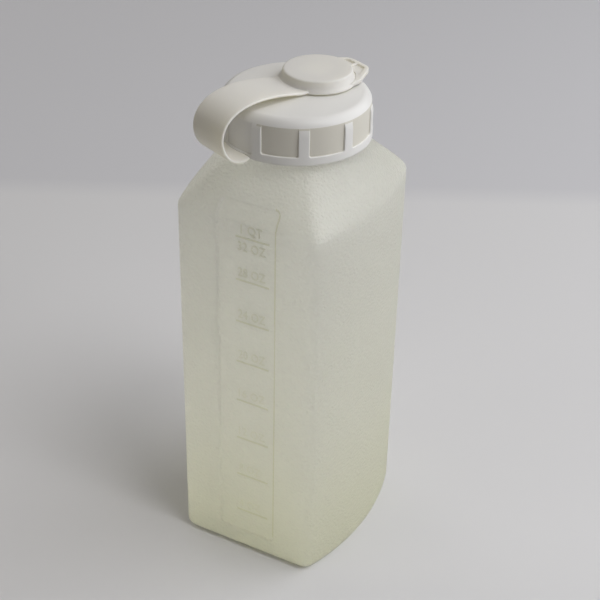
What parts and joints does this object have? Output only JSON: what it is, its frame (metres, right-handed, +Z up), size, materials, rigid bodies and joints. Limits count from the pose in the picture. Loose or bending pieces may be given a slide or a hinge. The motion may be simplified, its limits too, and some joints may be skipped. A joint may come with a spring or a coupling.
{
  "type": "refrigerator bottle",
  "caption": "Squarish translucent graduated bottle with bowed sides, a ribbed screw cap and a press-on pouring stopper held to the cap by a looped strap.",
  "frame": {"origin": "centre of the base, on the surface the bottle stands on", "axes": "+Z up along the bottle and the cap's thread axis; the graduated flat face looks along -Y; the bowed sides look along +X and -X"},
  "size_m": [0.0808, 0.0869, 0.224],
  "materials": {
    "milky_polyethylene": "translucent, fine-grained satin",
    "off_white_polypropylene": "satin",
    "white_seal": "soft matte"
  },
  "bodies": {
    "bottle": {"bottle_body": "milky_polyethylene"},
    "seal": {"seal_ring": "white_seal"},
    "cap": {"screw_cap": "off_white_polypropylene"},
    "link_1": {"strap_link_1": "off_white_polypropylene"},
    "link_2": {"strap_link_2": "off_white_polypropylene"},
    "link_3": {"strap_link_3": "off_white_polypropylene"},
    "link_4": {"strap_link_4": "off_white_polypropylene"},
    "stopper": {"flip_stopper": "off_white_polypropylene"}
  },
  "joints": [
    {"name": "cap_lift", "type": "slide", "parent": "bottle", "child": "seal", "axis": [0, 0, 1], "range_m": [0, 0.00751]},
    {"name": "cap_turn", "type": "hinge", "parent": "seal", "child": "cap", "pos_m": [0, 0, 0.21], "axis": [0, 0, 1], "range_deg": [0, 540]},
    {"name": "strap_bend_1", "type": "hinge", "parent": "cap", "child": "link_1", "pos_m": [-0.01229, -0.02967, 0.19813], "axis": [0.9239, -0.3827, 0], "range_deg": [0, 10.5]},
    {"name": "strap_bend_2", "type": "hinge", "parent": "link_1", "child": "link_2", "pos_m": [-0.01708, -0.04124, 0.20655], "axis": [0.9239, -0.3827, 0], "range_deg": [0, 21]},
    {"name": "strap_bend_3", "type": "hinge", "parent": "link_2", "child": "link_3", "pos_m": [-0.01459, -0.03522, 0.22048], "axis": [0.9239, -0.3827, 0], "range_deg": [0, 31.5]},
    {"name": "strap_bend_4", "type": "hinge", "parent": "link_3", "child": "link_4", "pos_m": [-0.00853, -0.0206, 0.22313], "axis": [0.9239, -0.3827, 0], "range_deg": [0, 35]},
    {"name": "stopper_flip", "type": "hinge", "parent": "link_4", "child": "stopper", "pos_m": [-0.00247, -0.00597, 0.22078], "axis": [0.9239, -0.3827, 0], "range_deg": [0, 70]}
  ],
  "couplings": [
    {"joint": "cap_lift", "follows": "cap_turn", "m_per_rad": 0.00079577},
    {"joint": "strap_bend_1", "follows": "stopper_flip", "ratio": 0.15},
    {"joint": "strap_bend_2", "follows": "stopper_flip", "ratio": 0.3},
    {"joint": "strap_bend_3", "follows": "stopper_flip", "ratio": 0.45},
    {"joint": "strap_bend_4", "follows": "stopper_flip", "ratio": 0.5}
  ]
}
